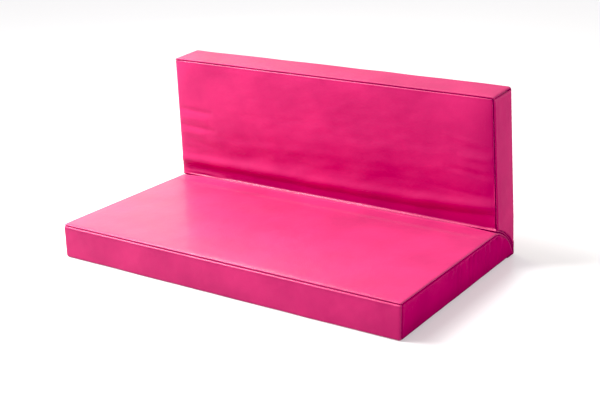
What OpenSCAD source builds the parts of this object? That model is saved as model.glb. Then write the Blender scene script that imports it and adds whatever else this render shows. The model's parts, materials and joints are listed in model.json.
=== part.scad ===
// Folding foam seat mat: a flat seat panel and an upright backrest panel in coated-vinyl
// covers, closing on a bulged mitre and joined by a fabric hinge along the rear bottom edge.
// X runs along the length, Y from front to back, Z up. The origin is on the floor, at the
// middle of the footprint. Millimetres.

/* [Panels] */
// Length of both panels, left to right
panel_l = 1000; // [600:10:1400]
// Depth on the floor, from the seat's front edge to the hinge
total_d = 605; // [480:5:700]
// Thickness of the seat panel
seat_t = 92; // [70:1:110]
// Thickness of the backrest panel
back_t = 107; // [80:1:125]
// Length of the backrest, from the hinge to its top
back_len = 447; // [300:1:520]
// Forward lean of the backrest when it stands, in degrees
back_lean = 3.4; // [1:0.1:6]

/* [Mitre] */
// How far the seat's curved rear face bulges beyond the straight line across it
mitre_bulge = 17; // [8:1:22]
// Gap between the two closed mitre faces
mitre_gap = 0.4; // [0.3:0.1:1]
// Height above the hinge at which the backrest's thin lower lip is cut off
lip_h = 7; // [5:1:12]

/* [Cover] */
// Thickness of the coated vinyl
skin = 1.2; // [0.8:0.1:2]
// Width of each half of the hinge strip
strip_w = 36; // [25:1:50]
// Clear distance from each half strip to the hinge axis
strip_gap = 0.7; // [0.7:0.1:1.5]

/* [Zips] */
// Distance of the seat's zip from the hinge, along the base
seat_zip_at = 88; // [70:1:120]
// Distance of the backrest's zip from the hinge, up the rear face
back_zip_at = 88; // [70:1:120]
// Width of the slot in the cover, over the zip
zip_slot_w = 14; // [13:1:18]
// Depth of the tapes' flat middle below the cover's face
zip_recess = 6.5; // [6.5:0.1:8]
// Distance from each end of the cover to the rows of teeth
zip_end = 26; // [20:1:40]

/* [Hidden] */

$fn = 96;
vinyl = "#E03A80";
vinyl_base = "#B81E5E";
foam = "#EFE6C8";
zip_cloth = "#C22468";
zip_metal = "#C9CBD0";

half_l = panel_l / 2;
half_d = total_d / 2;
core_x = half_l - skin;

// The hinge axis runs in the middle of the strip's thickness
hinge_y = half_d - skin / 2;
hinge_z = skin / 2;

// Where the leaning front face of the backrest meets the seat's top
front_v = skin / 2 - back_t;
crease_w = (seat_t - hinge_z - front_v * sin(back_lean)) / cos(back_lean);
crease_y = hinge_y + front_v * cos(back_lean) - crease_w * sin(back_lean);

// The mitre is a circular arc from the crease to the seat's rear bottom edge
tip_y = half_d - 2 * skin;
mitre_run = [tip_y - crease_y, -seat_t];
mitre_chord = norm(mitre_run);
mitre_r = pow(mitre_chord, 2) / (8 * mitre_bulge) + mitre_bulge / 2;
mitre_out = [seat_t, tip_y - crease_y] / mitre_chord;
mitre_centre = [crease_y, seat_t] + mitre_run / 2 - mitre_out * (mitre_r - mitre_bulge);

// Zip, in its own frame: X along it, Y across it, Z outwards, with the cover's face at 0
tape_t = 0.8;
tape_flange = 8.5;
tape_mid_top = tape_t / 2 - zip_recess;
row_gap = 0.8;
row_w = 2.6;
row_t = 1.4;
row_x = half_l - zip_end;
groove_half = zip_slot_w / 2 + tape_flange + 0.5;
groove_depth = zip_recess + 3;
stop_l = 3;
slider_l = 12;
slider_half_w = 4.4;
plate_t = 0.7;
play = 0.3;
slider_low = tape_mid_top - tape_t - play - plate_t;
slider_high = tape_mid_top + row_t + play + plate_t;
slider_x = row_x - slider_l / 2 - 9;
bridge_half_l = 3.2;
bridge_w = 3;
bridge_t = 0.7;
pin_r = 0.5;
pin_z = slider_high + pin_r + play;
bridge_high = pin_z + pin_r + play + bridge_t;
pull_l = 30;
pull_w = 7.4;
pull_t = 1;
pull_window = 9;

// Extrudes a profile drawn in Y and Z along X
module along(x0, x1) {
    translate([x0, 0, 0]) rotate([90, 0, 90]) linear_extrude(x1 - x0) children();
}

// Places what is drawn in the backrest's own axes: its hinge at the origin, upright
module lean() {
    translate([0, hinge_y, hinge_z]) rotate([back_lean, 0, 0]) children();
}

module lean_2d() {
    translate([hinge_y, hinge_z]) rotate(back_lean) children();
}

// The seat's profile, drawn in from its outer faces
module seat_profile(inset = 0) {
    translate([inset - half_d, inset])
        square([crease_y + half_d - inset, seat_t - 2 * inset]);
    intersection() {
        translate([crease_y - 1, inset]) square([tip_y - crease_y + 1, seat_t - 2 * inset]);
        translate(mitre_centre) circle(mitre_r - inset);
    }
}

// What the backrest is cut back from: the seat, grown by a margin
module seat_keepout(margin) {
    translate([crease_y - back_t, 0]) square([back_t, seat_t + margin]);
    intersection() {
        translate([crease_y - 1, 0]) square([back_t * 2, seat_t + margin]);
        translate(mitre_centre) circle(mitre_r + margin);
    }
}

// A slab of the backrest between two depths and two heights, in the floor's axes
module back_slab(v0, v1, w0, w1) {
    lean_2d() translate([v0, w0]) square([v1 - v0, w1 - w0]);
}

module back_profile(inset = 0) {
    difference() {
        back_slab(front_v + inset, skin / 2 - inset, lip_h, back_len - inset);
        seat_keepout(mitre_gap + inset);
    }
}

// ---- Zip pieces, in the zip's own frame ----

module zip_groove() {
    translate([-half_l, -groove_half, -groove_depth])
        cube([panel_l, 2 * groove_half, groove_depth]);
}

// One tape: a flange under the cover's edge, a ramp, and the flat middle that holds the teeth
module zip_tape(side) {
    edge = zip_slot_w / 2;
    foot = slider_half_w + 0.4;
    low = tape_mid_top - tape_t;
    along(-core_x, core_x)
        polygon([
            [side * row_gap / 2, low],
            [side * (foot + 0.3), low],
            [side * (edge + 0.3), -skin - tape_t],
            [side * (edge + tape_flange), -skin - tape_t],
            [side * (edge + tape_flange), -skin],
            [side * (edge - 0.4), -skin],
            [side * foot, tape_mid_top],
            [side * row_gap / 2, tape_mid_top]
        ]);
}

// One row of teeth, on its tape
module zip_teeth(side) {
    y0 = side > 0 ? row_gap / 2 : -row_gap / 2 - row_w;
    translate([-row_x, y0, tape_mid_top]) cube([2 * row_x, row_w, row_t]);
}

// Two separate stops beyond the closed end, and two beyond the open end
module zip_stops() {
    for (end = [-1, 1], side = [-1, 1]) {
        y0 = side > 0 ? row_gap / 2 : -row_gap / 2 - row_w;
        x0 = end > 0 ? row_x + 0.5 : -row_x - 0.5 - stop_l;
        translate([x0, y0, tape_mid_top]) cube([stop_l, row_w, row_t + 0.6]);
    }
}

// Two plates and a thin post that runs between the rows, with a bridge for the pull
module zip_slider() {
    row_room = row_gap / 2 + row_w + play;
    translate([slider_x, 0, 0]) {
        difference() {
            translate([-slider_l / 2, -slider_half_w, slider_low])
                cube([slider_l, 2 * slider_half_w, slider_high - slider_low]);
            for (side = [-1, 1]) {
                y0 = side > 0 ? row_gap / 2 - 0.2 : -row_room;
                translate([-slider_l, y0, slider_low + plate_t])
                    cube([2 * slider_l, row_room - row_gap / 2 + 0.2,
                          slider_high - slider_low - 2 * plate_t]);
                translate([-slider_l, side > 0 ? row_room - 0.1 : -2 * slider_half_w,
                           slider_low + plate_t])
                    cube([2 * slider_l, 2 * slider_half_w - row_room + 0.1,
                          tape_t + 2 * play]);
            }
        }
        for (end = [-1, 1])
            translate([end * (bridge_half_l - 0.5) - 0.5, -bridge_w / 2, slider_high])
                cube([1, bridge_w, bridge_high - slider_high]);
        translate([-bridge_half_l, -bridge_w / 2, bridge_high - bridge_t])
            cube([2 * bridge_half_l, bridge_w, bridge_t]);
    }
}

// A flat tab, with a window at one end that the bridge stands in and a pin across it
module zip_pull() {
    translate([slider_x, 0, pin_z]) {
        difference() {
            translate([-pull_l, -pull_w / 2, -pull_t / 2]) cube([pull_l, pull_w, pull_t]);
            translate([-pull_window, -pull_w / 2 + 1.2, -pull_t])
                cube([pull_window + 1, pull_w - 2.4, 2 * pull_t]);
            translate([3.6 - pull_l, 0, -pull_t]) cylinder(h = 2 * pull_t, r = 1.6);
        }
        translate([0, pull_w / 2, 0]) rotate([90, 0, 0]) cylinder(h = pull_w, r = pin_r);
    }
}

// The zip's frame on the seat's base, and on the backrest's rear face
module on_seat_base() {
    translate([0, half_d - seat_zip_at, 0]) rotate([180, 0, 0]) children();
}

module on_back_rear() {
    lean() translate([0, skin / 2, back_zip_at]) rotate([-90, 0, 0]) children();
}

// ---- Seat ----

module seat_foam_core() {
    color(foam) difference() {
        along(-core_x, core_x) seat_profile(skin);
        on_seat_base() zip_groove();
    }
}

// One length of vinyl over the top and down the curved rear face
module seat_top_panel() {
    color(vinyl) along(-core_x, core_x) intersection() {
        difference() {
            seat_profile();
            seat_profile(skin);
        }
        translate([skin - half_d, skin]) square([total_d, seat_t]);
    }
}

module seat_front_band() {
    color(vinyl) along(-core_x, core_x) translate([-half_d, 0]) square([skin, seat_t]);
}

module seat_end_band_left() {
    color(vinyl) along(-half_l, -core_x) seat_profile();
}

module seat_end_band_right() {
    color(vinyl) along(core_x, half_l) seat_profile();
}

module seat_base_panel() {
    slot = half_d - seat_zip_at - zip_slot_w / 2;
    color(vinyl_base) along(-core_x, core_x)
        translate([skin - half_d, 0]) square([slot + half_d - skin, skin]);
}

module seat_base_rear_panel() {
    slot = half_d - seat_zip_at + zip_slot_w / 2;
    color(vinyl_base) along(-core_x, core_x)
        translate([slot, 0]) square([hinge_y - strip_w - slot, skin]);
}

module seat_hinge_strip() {
    color(vinyl) along(-core_x, core_x)
        translate([hinge_y - strip_w, 0]) square([strip_w - strip_gap, skin]);
}

module seat_zip_tape_front() {
    color(zip_cloth) on_seat_base() zip_tape(1);
}

module seat_zip_tape_rear() {
    color(zip_cloth) on_seat_base() zip_tape(-1);
}

module seat_zip_teeth_front() {
    color(zip_cloth) on_seat_base() zip_teeth(1);
}

module seat_zip_teeth_rear() {
    color(zip_cloth) on_seat_base() zip_teeth(-1);
}

module seat_zip_stops() {
    color(zip_metal) on_seat_base() zip_stops();
}

module seat_zip_slider() {
    color(zip_metal) on_seat_base() zip_slider();
}

module seat_zip_pull() {
    color(zip_metal) on_seat_base() zip_pull();
}

// ---- Backrest ----

module backrest_foam_core() {
    color(foam) difference() {
        along(-core_x, core_x) back_profile(skin);
        on_back_rear() zip_groove();
    }
}

module backrest_front_panel() {
    color(vinyl) along(-core_x, core_x) difference() {
        back_slab(front_v, front_v + skin, lip_h, back_len - skin);
        seat_keepout(mitre_gap);
    }
}

module backrest_top_band() {
    color(vinyl) along(-core_x, core_x)
        back_slab(front_v, skin / 2, back_len - skin, back_len);
}

module backrest_end_band_left() {
    color(vinyl) along(-half_l, -core_x) back_profile();
}

module backrest_end_band_right() {
    color(vinyl) along(core_x, half_l) back_profile();
}

module backrest_rear_panel() {
    color(vinyl) along(-core_x, core_x)
        back_slab(-skin / 2, skin / 2, back_zip_at + zip_slot_w / 2, back_len - skin);
}

module backrest_lower_rear_panel() {
    color(vinyl) along(-core_x, core_x)
        back_slab(-skin / 2, skin / 2, strip_w, back_zip_at - zip_slot_w / 2);
}

// The hollow lower face that closes on the seat's bulged one
module backrest_mitre_panel() {
    color(vinyl) along(-core_x, core_x) difference() {
        intersection() {
            back_slab(front_v + skin, -skin / 2, lip_h, back_len);
            seat_keepout(mitre_gap + skin);
        }
        seat_keepout(mitre_gap);
    }
}

module backrest_hinge_strip() {
    color(vinyl) along(-core_x, core_x)
        back_slab(-skin / 2, skin / 2, strip_gap, strip_w);
}

module backrest_zip_tape_upper() {
    color(zip_cloth) on_back_rear() zip_tape(-1);
}

module backrest_zip_tape_lower() {
    color(zip_cloth) on_back_rear() zip_tape(1);
}

module backrest_zip_teeth_upper() {
    color(zip_cloth) on_back_rear() zip_teeth(-1);
}

module backrest_zip_teeth_lower() {
    color(zip_cloth) on_back_rear() zip_teeth(1);
}

module backrest_zip_stops() {
    color(zip_metal) on_back_rear() zip_stops();
}

module backrest_zip_slider() {
    color(zip_metal) on_back_rear() zip_slider();
}

module backrest_zip_pull() {
    color(zip_metal) on_back_rear() zip_pull();
}

seat_foam_core();
seat_top_panel();
seat_front_band();
seat_end_band_left();
seat_end_band_right();
seat_base_panel();
seat_base_rear_panel();
seat_hinge_strip();
seat_zip_tape_front();
seat_zip_tape_rear();
seat_zip_teeth_front();
seat_zip_teeth_rear();
seat_zip_stops();
seat_zip_slider();
seat_zip_pull();
backrest_foam_core();
backrest_front_panel();
backrest_top_band();
backrest_end_band_left();
backrest_end_band_right();
backrest_rear_panel();
backrest_lower_rear_panel();
backrest_mitre_panel();
backrest_hinge_strip();
backrest_zip_tape_upper();
backrest_zip_tape_lower();
backrest_zip_teeth_upper();
backrest_zip_teeth_lower();
backrest_zip_stops();
backrest_zip_slider();
backrest_zip_pull();
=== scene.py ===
import json
import math

import bmesh
import bpy
import numpy as np
from mathutils import Matrix, Vector


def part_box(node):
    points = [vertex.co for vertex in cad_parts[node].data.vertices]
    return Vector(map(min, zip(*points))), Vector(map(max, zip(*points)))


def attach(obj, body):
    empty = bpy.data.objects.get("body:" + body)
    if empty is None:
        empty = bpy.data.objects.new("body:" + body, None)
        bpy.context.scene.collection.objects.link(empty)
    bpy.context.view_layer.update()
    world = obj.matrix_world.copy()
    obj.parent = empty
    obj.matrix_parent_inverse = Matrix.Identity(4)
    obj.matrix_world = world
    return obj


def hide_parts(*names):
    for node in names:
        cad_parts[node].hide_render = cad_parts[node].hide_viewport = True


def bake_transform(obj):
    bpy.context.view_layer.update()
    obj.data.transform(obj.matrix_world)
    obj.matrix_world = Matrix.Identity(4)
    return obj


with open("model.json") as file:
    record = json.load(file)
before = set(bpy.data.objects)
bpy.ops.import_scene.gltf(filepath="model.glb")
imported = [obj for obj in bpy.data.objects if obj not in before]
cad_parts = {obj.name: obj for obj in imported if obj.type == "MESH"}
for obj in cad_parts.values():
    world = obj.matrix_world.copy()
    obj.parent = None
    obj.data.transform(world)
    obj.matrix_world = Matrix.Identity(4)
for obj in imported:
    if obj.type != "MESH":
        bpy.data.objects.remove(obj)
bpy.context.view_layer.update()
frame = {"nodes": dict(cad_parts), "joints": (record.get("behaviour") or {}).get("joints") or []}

MM = 0.001


# ---- Sizes, read from the frame ----

def low(node):
    return np.array(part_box(node)[0])


def high(node):
    return np.array(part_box(node)[1])


HALF_L = high("seat_end_band_right")[0]
SKIN = HALF_L - low("seat_end_band_right")[0]
HALF_D = -low("seat_front_band")[1]
SEAT_T = high("seat_front_band")[2]
TIP_Y = high("seat_end_band_right")[1]

fold = next(joint for joint in frame["joints"] if joint["name"] == "backrest_fold")
HINGE = np.array(fold["pos_m"][1:])
LEAN = math.radians(fold["range_deg"][1] - 90)
COS, SIN = math.cos(LEAN), math.sin(LEAN)
band_size = high("backrest_top_band") - low("backrest_top_band")
BACK_T = (band_size[1] - SKIN * SIN) / COS
BACK_REAR = SKIN / 2
BACK_FRONT = BACK_REAR - BACK_T
BACK_TOP = (high("backrest_top_band")[2] - HINGE[1] - BACK_REAR * SIN) / COS
CREASE_W = (SEAT_T - HINGE[1] - BACK_FRONT * SIN) / COS
CREASE_Y = HINGE[0] + BACK_FRONT * COS - CREASE_W * SIN
STRIP_W = HINGE[0] - low("seat_hinge_strip")[1]
SEAT_ZIP_Y = (high("seat_zip_teeth_front")[1] + low("seat_zip_teeth_rear")[1]) / 2
SLOT_HALF = (low("seat_base_rear_panel")[1] - high("seat_base_panel")[1]) / 2
MITRE_GAP = 0.4 * MM

# Rows of stitches: in from the hinge strip's edges, and out from the zip slots' edges
STITCH_ROWS = (3 * MM, STRIP_W - 14 * MM)
SLOT_ROW = 4 * MM
STITCH_DIP = 0.55 * MM


def to_back(points):
    """Points in the frame's Y and Z, as depth and height in the backrest's own axes."""
    d = np.asarray(points, float) - HINGE
    return np.stack([d[..., 0] * COS + d[..., 1] * SIN, d[..., 1] * COS - d[..., 0] * SIN], -1)


def from_back(points):
    """The other way, for points in X, depth and height."""
    x, v, w = np.moveaxis(np.asarray(points, float), -1, 0)
    return np.stack([x, HINGE[0] + v * COS - w * SIN, HINGE[1] + v * SIN + w * COS], -1)


def mitre_circle():
    """Centre and radius of the seat's curved rear face, from its end band in the frame."""
    mesh = frame["nodes"]["seat_end_band_right"].data
    rear = np.array([v.co[1:] for v in mesh.vertices if v.co.y > CREASE_Y - MM and v.co.z > MM])
    crease, tip = np.array([CREASE_Y, SEAT_T]), np.array([TIP_Y, 0.0])
    run = tip - crease
    chord = np.linalg.norm(run)
    out = np.array([-run[1], run[0]]) / chord
    bulge = ((rear - crease) @ out).max()
    radius = chord**2 / (8 * bulge) + bulge / 2
    return crease + run / 2 - out * (radius - bulge), radius


MITRE_C, MITRE_R = mitre_circle()
BACK_C = to_back(MITRE_C)
BACK_R = MITRE_R + MITRE_GAP


def far_side(middle, radius, off):
    """Where a circle's far side is, at a distance off from its middle line."""
    return middle + math.sqrt(radius**2 - off**2)


def bearing(centre, point):
    return math.atan2(point[1] - centre[1], point[0] - centre[0])


# ---- Profiles: straight runs and arcs, with the outward normal at each point ----

class Path:
    def __init__(self):
        self.runs = []
        self.marks = {}
        self.length = 0.0

    def mark(self, name):
        self.marks[name] = self.length

    def line(self, start, end, facing):
        start, end = np.array(start), np.array(end)
        size = np.linalg.norm(end - start)
        normal = np.array([math.cos(facing), math.sin(facing)])
        self._add(size, lambda t: (start + np.outer(t, end - start), np.tile(normal, (len(t), 1))))

    def arc(self, centre, radius, start, end, hollow=False):
        centre = np.array(centre)

        def place(t):
            angle = start + t * (end - start)
            out = np.stack([np.cos(angle), np.sin(angle)], -1)
            return centre + radius * out, -out if hollow else out

        self._add(abs(end - start) * radius, place)

    def _add(self, size, place):
        self.runs.append((self.length, size, place))
        self.length += size

    def at(self, s):
        s = np.clip(np.asarray(s, float), 0, self.length)
        points, normals = np.zeros((len(s), 2)), np.zeros((len(s), 2))
        for start, size, place in self.runs:
            inside = (s >= start) & (s <= start + size)
            if inside.any():
                points[inside], normals[inside] = place((s[inside] - start) / size)
        return points, normals


EDGE_R = 6.5 * MM
TIP_R = 3 * MM
LIP_R = 2.2 * MM
RIGHT, UP, LEFT, DOWN = 0.0, math.pi / 2, math.pi, 1.5 * math.pi


def seat_path():
    """From the front of the base's zip slot, forwards, up, over and back to the slot's rear."""
    path = Path()
    slot_front, slot_rear = SEAT_ZIP_Y - SLOT_HALF, SEAT_ZIP_Y + SLOT_HALF
    r = EDGE_R
    crease_r = 22 * MM
    crease = far_side(MITRE_C[0], MITRE_R - crease_r, SEAT_T - crease_r - MITRE_C[1])
    crease_c = np.array([crease, SEAT_T - crease_r])
    tip_y = far_side(MITRE_C[0], MITRE_R - TIP_R, TIP_R - MITRE_C[1])
    tip_c = np.array([tip_y, TIP_R])
    crease_turn = bearing(MITRE_C, crease_c)
    tip_turn = bearing(MITRE_C, tip_c)
    path.line((slot_front, 0), (r - HALF_D, 0), DOWN)
    path.arc((r - HALF_D, r), r, DOWN, LEFT)
    path.mark("front_low")
    path.line((-HALF_D, r), (-HALF_D, SEAT_T - r), LEFT)
    path.mark("front_high")
    path.arc((r - HALF_D, SEAT_T - r), r, LEFT, UP)
    path.mark("top_front")
    path.line((r - HALF_D, SEAT_T), (crease, SEAT_T), UP)
    path.arc(crease_c, crease_r, UP, crease_turn)
    path.mark("crease")
    path.arc(MITRE_C, MITRE_R, crease_turn, tip_turn)
    path.mark("tip")
    path.arc(tip_c, TIP_R, tip_turn, -UP)
    path.mark("under")
    path.line((tip_y, 0), (slot_rear, 0), -UP)
    return path


def back_path():
    """In the backrest's axes: up the hollow mitre, the front, over the top, down the rear."""
    path = Path()
    r, rear_r, foot_r = EDGE_R, 8 * MM, 7 * MM
    foot_v = BACK_FRONT + foot_r
    foot_w = far_side(BACK_C[1], BACK_R + foot_r, foot_v - BACK_C[0])
    lip_v = BACK_REAR - LIP_R
    lip_w = far_side(BACK_C[1], BACK_R + LIP_R, lip_v - BACK_C[0])
    foot_turn = bearing(BACK_C, (foot_v, foot_w))
    lip_turn = bearing(BACK_C, (lip_v, lip_w))
    path.arc(BACK_C, BACK_R, lip_turn, foot_turn, hollow=True)
    path.mark("foot")
    path.arc((foot_v, foot_w), foot_r, foot_turn + math.pi, LEFT)
    path.mark("front_low")
    path.line((BACK_FRONT, foot_w), (BACK_FRONT, BACK_TOP - r), LEFT)
    path.mark("front_high")
    path.arc((BACK_FRONT + r, BACK_TOP - r), r, LEFT, UP)
    path.mark("top_front")
    path.line((BACK_FRONT + r, BACK_TOP), (BACK_REAR - rear_r, BACK_TOP), UP)
    path.mark("top_rear")
    path.arc((BACK_REAR - rear_r, BACK_TOP - rear_r), rear_r, UP, RIGHT)
    path.mark("rear_high")
    path.line((BACK_REAR, BACK_TOP - rear_r), (BACK_REAR, lip_w), RIGHT)
    path.mark("rear_low")
    path.arc((lip_v, lip_w), LIP_R, 0, lip_turn - math.pi)
    return path


SEAT, BACK = seat_path(), back_path()


# ---- Meshes ----

def spread(start, end, coarse, fine=0.7 * MM, reach=14 * MM):
    """Places from start to end, closer together towards both ends."""
    t = np.linspace(start, end, 6000)
    near = np.minimum(t - start, end - t)
    ease = np.clip(near / reach, 0, 1)
    density = 1 / (fine + (coarse - fine) * ease * ease * (3 - 2 * ease))
    total = np.concatenate([[0], np.cumsum((density[1:] + density[:-1]) / 2 * np.diff(t))])
    return np.interp(np.linspace(0, total[-1], int(total[-1]) + 2), total, t)


def normals_of(points, out):
    """Unit normals of a grid, turned to the side that out points to."""
    du, dv = np.gradient(points, axis=0), np.gradient(points, axis=1)
    n = np.cross(du, dv)
    n /= np.maximum(np.linalg.norm(n, axis=-1, keepdims=True), 1e-12)
    return n * np.where((n * out).sum(-1, keepdims=True) < 0, -1, 1)


def quads(rows, cols):
    i = np.arange(rows * cols).reshape(rows, cols)
    corners = (i[:-1, :-1], i[1:, :-1], i[1:, 1:], i[:-1, 1:])
    return np.stack([c.ravel() for c in corners], -1)


def added(name, data):
    obj = bpy.data.objects.new(name, data)
    bpy.context.collection.objects.link(obj)
    return obj


def new_mesh(name, verts, faces, smooth=True):
    mesh = bpy.data.meshes.new(name)
    mesh.from_pydata(np.asarray(verts).tolist(), [], [list(map(int, f)) for f in faces])
    mesh.validate()
    mesh.polygons.foreach_set("use_smooth", [smooth] * len(mesh.polygons))
    return added(name, mesh)


def tube_faces(rows, sides):
    """The faces of a closed tube: rows rings of sides points, and a cap at each end."""
    i = np.arange(rows * sides).reshape(rows, sides)
    nxt = np.roll(i, -1, axis=1)
    walls = np.stack([i[:-1], i[1:], nxt[1:], nxt[:-1]], -1).reshape(-1, 4).tolist()
    return walls + [i[0].tolist(), i[-1, ::-1].tolist()]


def turned_out(made):
    """The same piece, with all its faces turned outwards."""
    fix = bmesh.new()
    fix.from_mesh(made.data)
    bmesh.ops.recalc_face_normals(fix, faces=fix.faces)
    fix.to_mesh(made.data)
    fix.free()
    return made


def along_x(x, plane):
    """Points in X, Y and Z, from the places along X and the points across it."""
    return np.concatenate([np.broadcast_to(x[:, None, None], (*plane.shape[:2], 1)), plane], -1)


def lengths(line):
    """How far along a line each of its points is."""
    return np.concatenate([[0], np.cumsum(np.linalg.norm(np.diff(line, axis=0), axis=1))])


def sheet_mesh(name, points, normals, thickness=SKIN):
    """A closed sheet: the grid as its outer face, and its inner face a thickness below it."""
    rows, cols = points.shape[:2]
    count = rows * cols
    outer = quads(rows, cols)
    a, b, c = (points.reshape(-1, 3)[outer[:, k]] for k in (0, 1, 2))
    if (np.cross(b - a, c - a) * normals.reshape(-1, 3)[outer[:, 0]]).sum() < 0:
        outer = outer[:, ::-1]
    inner = outer[:, ::-1] + count
    i = np.arange(count).reshape(rows, cols)
    rim = np.concatenate([i[:, 0], i[-1, 1:], i[-2::-1, -1], i[0, -2:0:-1]])
    nxt = np.roll(rim, -1)
    forward = {(int(f[k]), int(f[(k + 1) % 4])) for f in outer[:2 * cols] for k in range(4)}
    forward |= {(int(f[k]), int(f[(k + 1) % 4])) for f in outer[-2 * cols:] for k in range(4)}
    walls = np.stack([nxt, rim, rim + count, nxt + count], -1)
    if (int(rim[0]), int(nxt[0])) not in forward:
        walls = walls[:, ::-1]
    verts = np.concatenate([points.reshape(-1, 3), (points - normals * thickness).reshape(-1, 3)])
    return new_mesh(name, verts, np.concatenate([outer, inner, walls]))


# ---- Relief: how far a cover stands out from its plain shape ----

def waves(a, b, seed, length, count=9):
    """Soft, even unevenness about length across, between about -1 and 1."""
    rng = np.random.default_rng(seed)
    total = np.zeros(np.broadcast(a, b).shape)
    for _ in range(count):
        turn, phase = rng.uniform(0, 2 * math.pi, 2)
        k = 2 * math.pi / (length * rng.uniform(0.7, 1.5))
        total = total + np.cos(k * (a * math.cos(turn) + b * math.sin(turn)) + phase)
    return total / math.sqrt(count)


def bump(d, width):
    return np.exp(-(d / width)**2)


def eased(t):
    """From 0 to 1 without a corner at either end."""
    t = np.clip(t, 0, 1)
    return t * t * (3 - 2 * t)


SEAM_DEPTH, SEAM_W = 3.2 * MM, 1.5 * MM


def seam(d, along, depth=SEAM_DEPTH, ridge=0.75 * MM):
    """Beside a seam: the edge turned down into it, the lifted row beside it, fine puckers."""
    pucker = 0.16 * MM * bump(d - 3.2 * MM, 2.5 * MM) * waves(along, 0 * along, 3, 7 * MM, 5)
    return -depth * bump(d, SEAM_W) + ridge * bump(d - 4.2 * MM, 2.3 * MM) + pucker


def seams(x, s, *distances, **kind):
    """The seams round a panel: the nearest one counts most, so corners stay tidy.

    The distances are to the panel's end, where the seam runs along s, and to its start and
    stop, where the seams run along x.
    """
    stack = np.stack([seam(d, a, **kind) for d, a in zip(distances, (s, x, x))])
    weight = np.stack([1 / (d + 0.5 * MM)**3 for d in distances])
    return (stack * weight).sum(0) / weight.sum(0)


def crown(t, power=0.5):
    """0 at both ends and 1 between them, rising quickly."""
    return np.sin(math.pi * np.clip(t, 0, 1))**power


def lengthways(x, power=0.5):
    return crown((x / HALF_L + 1) / 2, power)


def cushion(x, to_start, to_stop):
    """1 in a panel's middle and 0 all round it."""
    return lengthways(x) * crown(to_start / (to_start + to_stop))


def fold_line(x, c, places, heights, amount, width, ends=60 * MM):
    """A long fold: its middle line runs through heights at places, and it fades at its ends."""
    middle = np.interp(x, places, heights)
    fade = np.clip((x - places[0]) / ends, 0, 1) * np.clip((places[-1] - x) / ends, 0, 1)
    return amount * np.sqrt(fade) * bump(c - middle, width)


# ---- Panels round a profile ----

def placed_sheet(name, points, out, place, narrow, rests):
    """A sheet drawn in at its top, kept above the floor and turned into the frame's axes."""
    if narrow is not None:
        points[..., 0] *= narrow(points[..., 2])
    if rests:
        points[..., 2] = np.maximum(points[..., 2], 0)
    if place is not None:
        points, out = place(points), place(out) - place(np.zeros(3))
    return sheet_mesh(name, points, normals_of(points, out))


ENDS = ((-1, "left"), (1, "right"))
END_TURN = math.radians(80)
END_R = EDGE_R
TAB = 3.5 * MM


def tube_panel(name, path, start, end, relief, coarse, end_r=None, place=None, narrow=None,
               only=None, rests=False):
    """A panel from start to end along a profile, rolled over the edge at both ends of X.

    relief(x, s, to_end, to_start, to_stop) gives its height over the plain shape.
    only, 1 or -1, keeps just the last few millimetres at that end. rests keeps it above
    the floor.
    """
    reach = HALF_L - END_R + END_R * END_TURN
    x = spread(-reach, reach, coarse[0])
    if only:
        x = only * spread(HALF_L - END_R - TAB, reach, coarse[0])[::only]
    s = spread(start, end, coarse[1])
    outline, facing = path.at(s)
    turn = np.clip((np.abs(x) - (HALF_L - END_R)) / END_R, 0, None)[:, None]
    r = np.full(len(s), END_R) if end_r is None else end_r(s)
    side = np.sign(x)[:, None]
    flat = np.minimum(np.abs(x), HALF_L - END_R)[:, None] / (HALF_L - END_R)
    shown_x = side * (flat * (HALF_L - r) + r * np.sin(turn))
    inset = (r * (1 - np.cos(turn)))[..., None]
    plane = outline[None] - inset * facing[None]
    out = np.concatenate([(side * np.sin(turn))[..., None] * np.ones((1, len(s), 1)),
                          np.cos(turn)[..., None] * facing[None]], -1)
    points = np.concatenate([shown_x[..., None], plane], -1)
    to_end = (reach - np.abs(x))[:, None] + 0 * s
    height = relief(x[:, None] + 0 * s, s + 0 * x[:, None], to_end,
                    (s - start) + 0 * x[:, None], (end - s) + 0 * x[:, None])
    points = points + height[..., None] * out
    return placed_sheet(name, points, out, place, narrow, rests)


def ride_cover(obj, body, material, *nodes, slot="vinyl"):
    obj.data.materials.append(material)
    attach(obj, body)
    if nodes:
        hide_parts(*nodes)
    return obj


# ---- Panels across an end ----

def seat_end_r(s):
    tip = (SEAT.marks["tip"] + SEAT.marks["under"]) / 2
    return np.clip(2.4 * MM + 0.25 * np.abs(s - tip), 0, END_R)


def back_end_r(s):
    lip = np.minimum(s, BACK.length - s)
    return np.clip(1.2 * MM + 0.16 * lip, 0, END_R)


def end_line(path, s, end_r):
    """Where a tube panel's rolled edge stops, in the profile's plane."""
    points, facing = path.at(s)
    return points - (end_r(s) * (1 - math.cos(END_TURN)))[:, None] * facing


CAP_STEP = 5 * MM
RIM_CHUNK = 60


def cap_panel(name, side, first, last, relief, place=None, narrow=None, rests=False):
    """A flat end panel between two lines with the same number of points, out at one end of X.

    relief(a, b, to_seam) gives its height; a and b are the profile's coordinates.
    """
    widest = np.linalg.norm(last - first, axis=1).max()
    f = spread(0, widest, CAP_STEP) / widest
    plane = first[:, None] + (last - first)[:, None] * f[None, :, None]
    rim = np.concatenate([plane[:, 0], plane[:, -1], plane[0], plane[-1]])
    flat = plane.reshape(-1, 2)
    gap = np.full(len(flat), 1.0)
    for chunk in np.array_split(rim, max(1, len(rim) // RIM_CHUNK)):
        d = np.linalg.norm(flat[:, None] - chunk[None], axis=2).min(1)
        gap = np.minimum(gap, d)
    gap = gap.reshape(plane.shape[:2])
    height = relief(plane[..., 0], plane[..., 1], gap)
    points = np.concatenate([side * (HALF_L + height)[..., None], plane], -1)
    out = np.zeros_like(points)
    out[..., 0] = side
    return placed_sheet(name, points, out, place, narrow, rests)


# ---- Materials ----

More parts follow.
